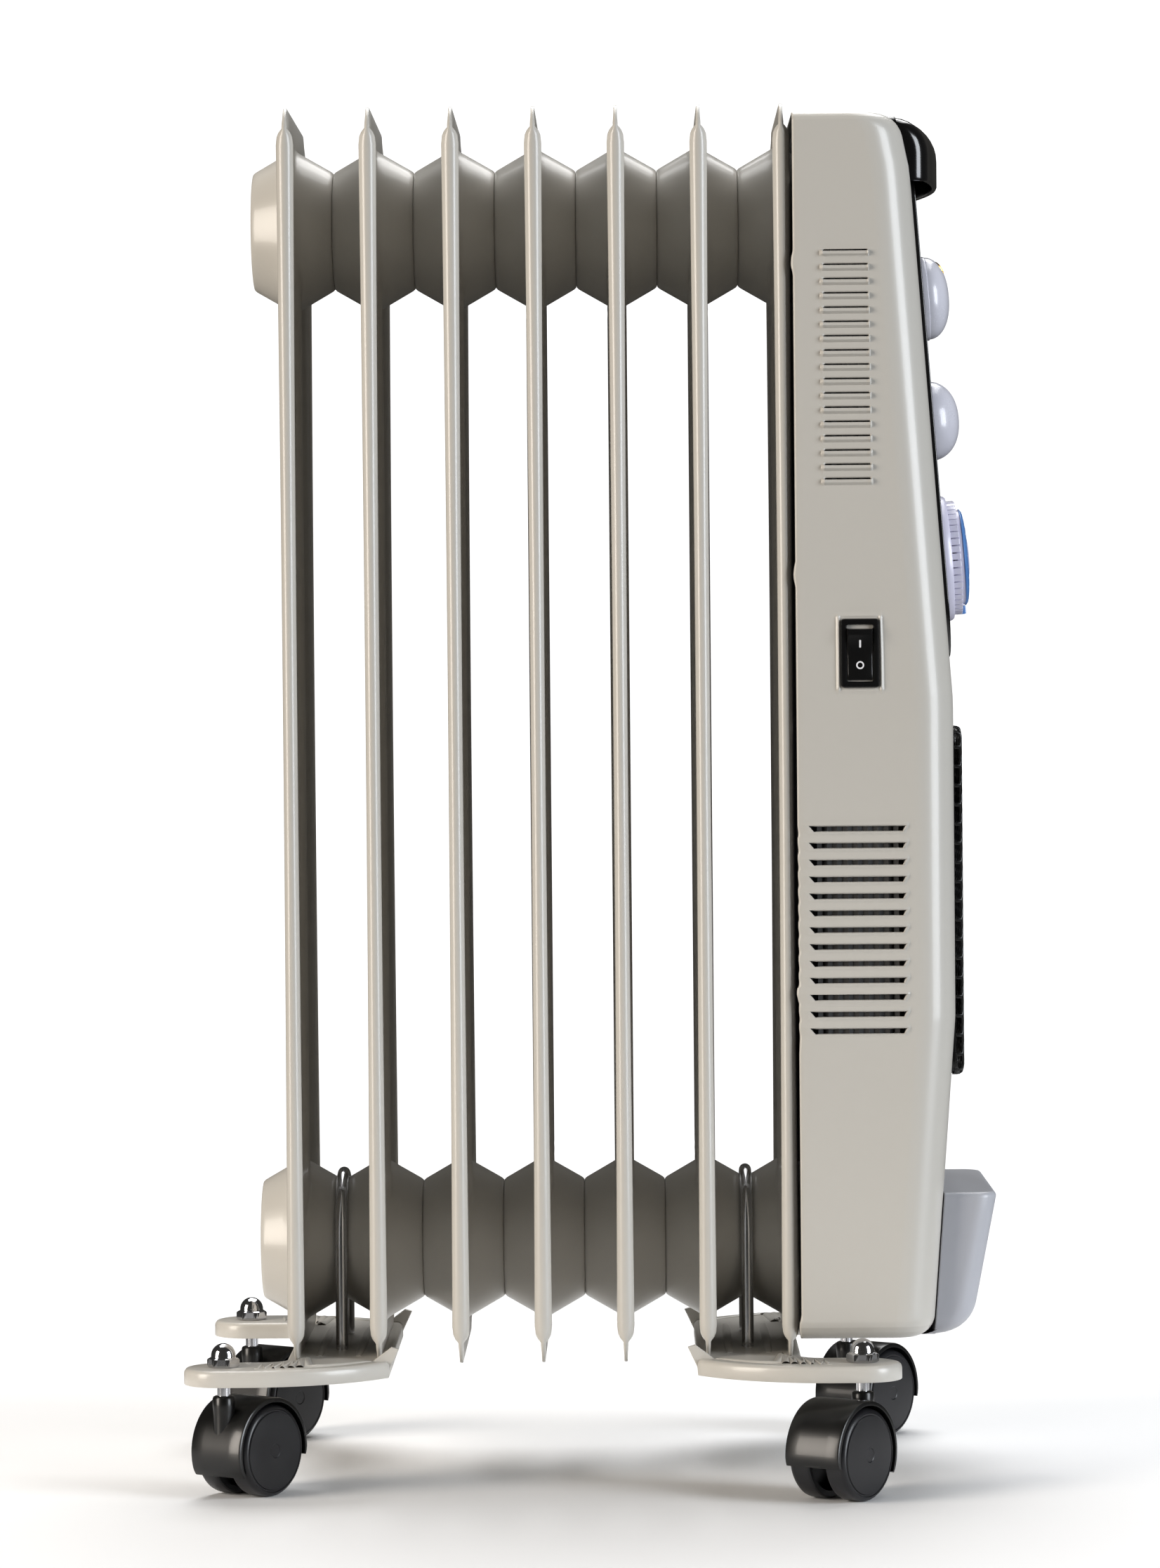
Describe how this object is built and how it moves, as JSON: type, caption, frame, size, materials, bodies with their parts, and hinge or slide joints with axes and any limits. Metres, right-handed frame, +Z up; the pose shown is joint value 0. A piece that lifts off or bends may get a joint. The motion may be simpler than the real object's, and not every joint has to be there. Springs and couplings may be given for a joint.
{
  "type": "oil filled radiator heater",
  "caption": "Finned oil filled radiator on casters with a control box, knobs, tab timer, rocker switch, side louvres, fan outlet grille, carry handle and a closed front box.",
  "frame": {"origin": "on the floor, under the middle of the whole heater's box", "axes": "+X from the rear foot to the control box, +Y across the fins away from the rocker switch, +Z up"},
  "size_m": [0.3746, 0.2748, 0.6375],
  "materials": {
    "enamel": "gloss warm light grey stove enamel",
    "tray_grey": "semi gloss light grey moulding",
    "gloss_black": "gloss black moulding",
    "satin_black": "satin black moulding",
    "wheel_black": "hard black nylon with a moulded disc",
    "knob_grey": "satin light grey moulding",
    "timer_lavender": "pale lavender grey moulding",
    "timer_blue": "blue moulding",
    "chrome": "bright nickel and chrome plate",
    "inner_steel": "bare steel",
    "back_black": "black coated steel",
    "heater_aluminium": "finned aluminium",
    "duct_black": "matt black heat resistant moulding",
    "switch_cream": "cream moulding",
    "cutout_brown": "dark brown phenolic",
    "brass": "plain brass",
    "lead_red": "silicone insulation"
  },
  "bodies": {
    "root": {"fin_1": "enamel", "fin_2": "enamel", "fin_3": "enamel", "fin_4": "enamel", "fin_5": "enamel", "fin_6": "enamel", "fin_7": "enamel", "heating_element": "inner_steel", "oil_filler_plug": "inner_steel", "thermal_cutout": "cutout_brown", "back_plate": "back_black", "control_casing": "enamel", "fascia_panel": "satin_black", "carry_handle": "gloss_black", "power_switch": "switch_cream", "thermostat": "inner_steel", "timer_base": "timer_lavender", "timer_cap": "timer_lavender", "rocker_housing": "satin_black", "fan_grille": "satin_black", "ptc_heater": "heater_aluminium", "blower_housing": "duct_black", "fan_motor": "inner_steel", "front_box": "tray_grey", "tip_over_housing": "switch_cream", "terminal_block": "switch_cream", "cord_gland": "satin_black", "casing_screws": "inner_steel", "wiring_loom": "lead_red", "foot_plate_rear": "enamel", "foot_plate_front": "enamel", "clamp_rear": "chrome", "clamp_front": "chrome", "clamp_nuts": "chrome", "cap_nuts": "chrome", "caster_studs": "chrome"},
    "power_knob": {"power_knob": "knob_grey"},
    "thermostat_knob": {"thermostat_knob": "knob_grey"},
    "timer_dial": {"timer_dial": "timer_lavender", "timer_tabs": "timer_blue"},
    "timer_override": {"timer_override": "timer_blue"},
    "rocker": {"rocker_paddle": "satin_black"},
    "blower": {"blower_wheel": "duct_black"},
    "pendulum": {"tip_over_pendulum": "brass"},
    "caster_rl": {"caster_hood_rl": "satin_black", "axle_rl": "inner_steel"},
    "wheel_rl_in": {"wheel_rl_in": "wheel_black"},
    "wheel_rl_out": {"wheel_rl_out": "wheel_black"},
    "caster_rr": {"caster_hood_rr": "satin_black", "axle_rr": "inner_steel"},
    "wheel_rr_in": {"wheel_rr_in": "wheel_black"},
    "wheel_rr_out": {"wheel_rr_out": "wheel_black"},
    "caster_fl": {"caster_hood_fl": "satin_black", "axle_fl": "inner_steel"},
    "wheel_fl_in": {"wheel_fl_in": "wheel_black"},
    "wheel_fl_out": {"wheel_fl_out": "wheel_black"},
    "caster_fr": {"caster_hood_fr": "satin_black", "axle_fr": "inner_steel"},
    "wheel_fr_in": {"wheel_fr_in": "wheel_black"},
    "wheel_fr_out": {"wheel_fr_out": "wheel_black"}
  },
  "joints": [
    {"name": "power_select", "type": "hinge", "parent": "root", "child": "power_knob", "pos_m": [0.15555, 0, 0.551], "axis": [0.9973, 0, 0.074], "range_deg": [0, 240]},
    {"name": "thermostat_set", "type": "hinge", "parent": "root", "child": "thermostat_knob", "pos_m": [0.15982, 0, 0.49346], "axis": [0.9973, 0, 0.074], "range_deg": [0, 270]},
    {"name": "timer_turn", "type": "hinge", "parent": "root", "child": "timer_dial", "pos_m": [0.16464, 0, 0.42844], "axis": [0.9973, 0, 0.074], "continuous": true},
    {"name": "override_slide", "type": "slide", "parent": "root", "child": "timer_override", "axis": [0, 1, 0], "range_m": [0, 0.003]},
    {"name": "rocker_press", "type": "hinge", "parent": "root", "child": "rocker", "pos_m": [0.12445, -0.075, 0.384], "axis": [1, 0, 0], "range_deg": [-14, 0]},
    {"name": "blower_spin", "type": "hinge", "parent": "root", "child": "blower", "pos_m": [0.12565, 0, 0.269], "axis": [0, 1, 0], "continuous": true},
    {"name": "pendulum_swing", "type": "hinge", "parent": "root", "child": "pendulum", "pos_m": [0.13915, 0.04, 0.1942], "axis": [1, 0, 0], "range_deg": [-22, 22]},
    {"name": "swivel_rl", "type": "hinge", "parent": "root", "child": "caster_rl", "pos_m": [-0.16965, -0.0945, 0.0473], "axis": [0, 0, 1], "continuous": true},
    {"name": "roll_rl_in", "type": "hinge", "parent": "caster_rl", "child": "wheel_rl_in", "pos_m": [-0.15913, -0.08002, 0.021], "axis": [-0.809, 0.5878, 0], "continuous": true},
    {"name": "roll_rl_out", "type": "hinge", "parent": "caster_rl", "child": "wheel_rl_out", "pos_m": [-0.15913, -0.08002, 0.021], "axis": [-0.809, 0.5878, 0], "continuous": true},
    {"name": "swivel_rr", "type": "hinge", "parent": "root", "child": "caster_rr", "pos_m": [-0.16965, 0.0945, 0.0473], "axis": [0, 0, 1], "continuous": true},
    {"name": "roll_rr_in", "type": "hinge", "parent": "caster_rr", "child": "wheel_rr_in", "pos_m": [-0.15913, 0.10898, 0.021], "axis": [-0.809, 0.5878, 0], "continuous": true},
    {"name": "roll_rr_out", "type": "hinge", "parent": "caster_rr", "child": "wheel_rr_out", "pos_m": [-0.15913, 0.10898, 0.021], "axis": [-0.809, 0.5878, 0], "continuous": true},
    {"name": "swivel_fl", "type": "hinge", "parent": "root", "child": "caster_fl", "pos_m": [0.12235, -0.0945, 0.0473], "axis": [0, 0, 1], "continuous": true},
    {"name": "roll_fl_in", "type": "hinge", "parent": "caster_fl", "child": "wheel_fl_in", "pos_m": [0.11183, -0.10898, 0.021], "axis": [0.809, -0.5878, 0], "continuous": true},
    {"name": "roll_fl_out", "type": "hinge", "parent": "caster_fl", "child": "wheel_fl_out", "pos_m": [0.11183, -0.10898, 0.021], "axis": [0.809, -0.5878, 0], "continuous": true},
    {"name": "swivel_fr", "type": "hinge", "parent": "root", "child": "caster_fr", "pos_m": [0.12235, 0.0945, 0.0473], "axis": [0, 0, 1], "continuous": true},
    {"name": "roll_fr_in", "type": "hinge", "parent": "caster_fr", "child": "wheel_fr_in", "pos_m": [0.13287, 0.10898, 0.021], "axis": [-0.809, 0.5878, 0], "continuous": true},
    {"name": "roll_fr_out", "type": "hinge", "parent": "caster_fr", "child": "wheel_fr_out", "pos_m": [0.13287, 0.10898, 0.021], "axis": [-0.809, 0.5878, 0], "continuous": true}
  ]
}
